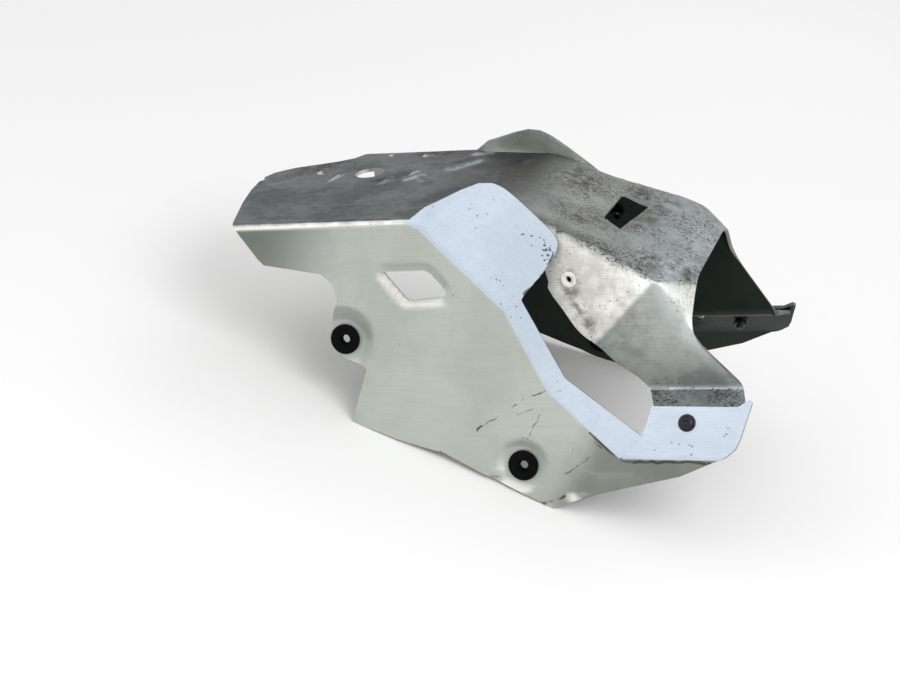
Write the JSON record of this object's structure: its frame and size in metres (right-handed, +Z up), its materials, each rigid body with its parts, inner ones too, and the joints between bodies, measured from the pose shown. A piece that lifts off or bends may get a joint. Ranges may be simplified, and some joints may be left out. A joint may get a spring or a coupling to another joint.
{
  "type": "skid plate",
  "caption": "Folded aluminium engine guard lying belly up: flat belly, side walls with flanges and a window each, sloping vented nose, rubber-lined fixing holes.",
  "frame": {"origin": "centre of the overall box at floor level, with the guard lying belly up on the feet of its side walls", "axes": "+X toward the nose, +Y to the far side, +Z up from the floor"},
  "size_m": [0.4742, 0.2802, 0.2207],
  "materials": {
    "sheet": "brushed, scratched and dirty",
    "rubber": "matt black rubber",
    "insert": "dull zinc plated",
    "bolt": "black coated steel"
  },
  "bodies": {
    "root": {"guard_plate": "sheet", "grommet_front_near": "rubber", "grommet_front_far": "rubber", "grommet_rear_near": "rubber", "grommet_rear_far": "rubber", "rivet_nut_near": "insert", "rivet_nut_far": "insert", "bracket_bolt_near": "bolt", "bracket_bolt_far": "bolt", "bracket_nut_near": "bolt", "bracket_nut_far": "bolt"}
  },
  "joints": []
}
